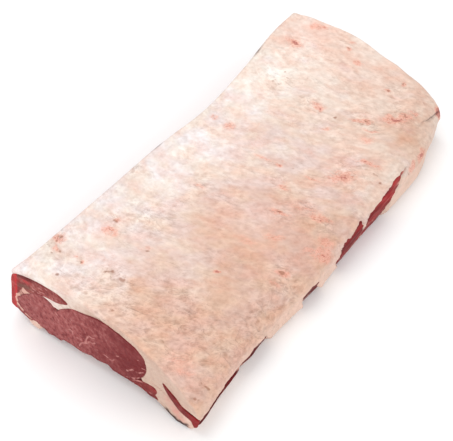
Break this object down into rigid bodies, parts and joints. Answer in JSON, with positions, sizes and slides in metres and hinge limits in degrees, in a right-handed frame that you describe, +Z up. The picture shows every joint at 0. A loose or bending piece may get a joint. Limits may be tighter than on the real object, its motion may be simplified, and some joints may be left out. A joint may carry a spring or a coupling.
{
  "type": "beef striploin",
  "caption": "Whole boneless beef striploin, squared off at its ends: a long eye of lean under an even fat cap that runs out to a thin tail.",
  "frame": {"origin": "on the board, at the middle of the loin's bounding box seen from above", "axes": "+Y along the loin from the near cut end to the far cut end, +X from the chine side to the flank side (the tail), +Z up, fat side up"},
  "size_m": [0.2278, 0.452, 0.0936],
  "materials": {
    "fat": "firm raw fat, pale pink to cream, faintly moist, with a fine torn membrane and small red veins",
    "lean_eye": "moist raw lean beef, dull red, with fine grain and a few branching pale flecks of marbling",
    "lean_upper": "moist raw lean beef, lighter red, marbled, brighter red on the chine side",
    "lean_tail": "moist raw lean beef, dark red, stringy"
  },
  "bodies": {
    "root": {"fat_cap": "fat", "eye_muscle": "lean_eye", "upper_muscle": "lean_upper", "lower_strip": "lean_tail", "flank_strip": "lean_tail"}
  },
  "joints": []
}
